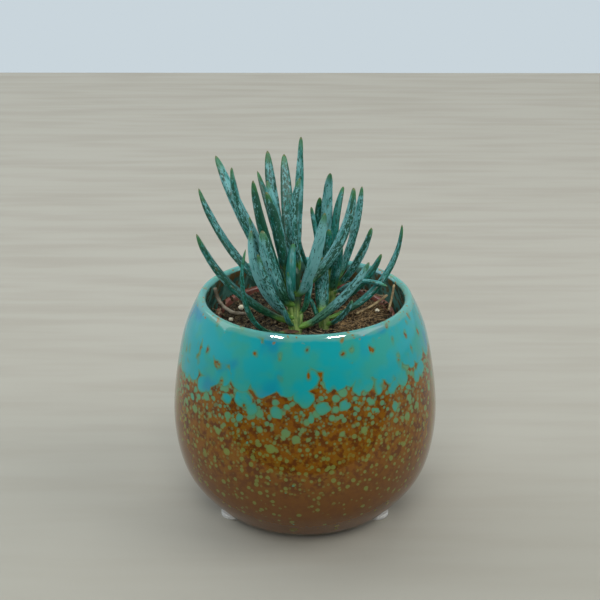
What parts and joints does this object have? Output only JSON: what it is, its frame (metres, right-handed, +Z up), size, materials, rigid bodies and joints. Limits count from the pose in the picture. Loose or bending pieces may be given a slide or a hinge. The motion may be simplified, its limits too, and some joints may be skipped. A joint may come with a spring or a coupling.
{
  "type": "potted succulent",
  "caption": "Blue chalk-stick succulent with fleshy pencil leaves in a plastic nursery pot inside a bulbous glazed ceramic cover pot on small base pads",
  "frame": {"origin": "on the surface the pads stand on, under the middle of the ceramic pot", "axes": "+Z up, -Y towards the side that the plant is seen from, +X to the right of it"},
  "size_m": [0.1, 0.1, 0.145],
  "materials": {
    "reactive_glaze": "glossy reactive glaze, teal over rust brown with dense green specks",
    "pad_foam": "matt soft white",
    "red_plastic": "dusty satin red-brown",
    "peat": "crumbly dark brown, fibrous",
    "dry_roots": "matt dry fibre",
    "dry_twig": "weathered grey-beige",
    "dry_straw": "dry straw",
    "perlite": "rough porous off-white",
    "dry_scale": "papery brown",
    "stem": "smooth light green",
    "leaf": "waxy blue-green with pale streaked bloom and yellow-green foot"
  },
  "bodies": {
    "root": {"ceramic_pot": "reactive_glaze", "base_pad_left": "pad_foam", "base_pad_right": "pad_foam", "base_pad_back": "pad_foam", "nursery_pot": "red_plastic", "soil": "peat", "root_mat": "dry_roots", "dry_twig": "dry_twig", "dry_straw_short": "dry_straw", "dry_straw_long": "dry_straw", "perlite_1": "perlite", "perlite_2": "perlite", "perlite_3": "perlite", "perlite_4": "perlite", "perlite_5": "perlite", "dry_scale": "dry_scale", "front_stem": "stem", "front_leaf_01": "leaf", "front_leaf_02": "leaf", "front_leaf_03": "leaf", "front_leaf_04": "leaf", "front_leaf_05": "leaf", "front_leaf_06": "leaf", "front_leaf_07": "leaf", "front_leaf_08": "leaf", "front_leaf_09": "leaf", "front_leaf_10": "leaf", "front_leaf_11": "leaf", "front_leaf_12": "leaf", "front_leaf_13": "leaf", "front_leaf_14": "leaf", "front_leaf_15": "leaf", "front_leaf_16": "leaf", "front_leaf_17": "leaf", "front_leaf_18": "leaf", "front_leaf_19": "leaf", "front_leaf_20": "leaf", "front_leaf_21": "leaf", "front_leaf_22": "leaf", "front_leaf_23": "leaf", "front_leaf_24": "leaf", "rear_stem": "stem", "rear_leaf_01": "leaf", "rear_leaf_02": "leaf", "rear_leaf_03": "leaf", "rear_leaf_04": "leaf", "rear_leaf_05": "leaf", "rear_leaf_06": "leaf", "rear_leaf_07": "leaf", "rear_leaf_08": "leaf", "rear_leaf_09": "leaf", "rear_leaf_10": "leaf", "rear_leaf_11": "leaf", "side_stem": "stem", "side_leaf_01": "leaf", "side_leaf_02": "leaf", "side_leaf_03": "leaf", "side_leaf_04": "leaf"}
  },
  "joints": []
}
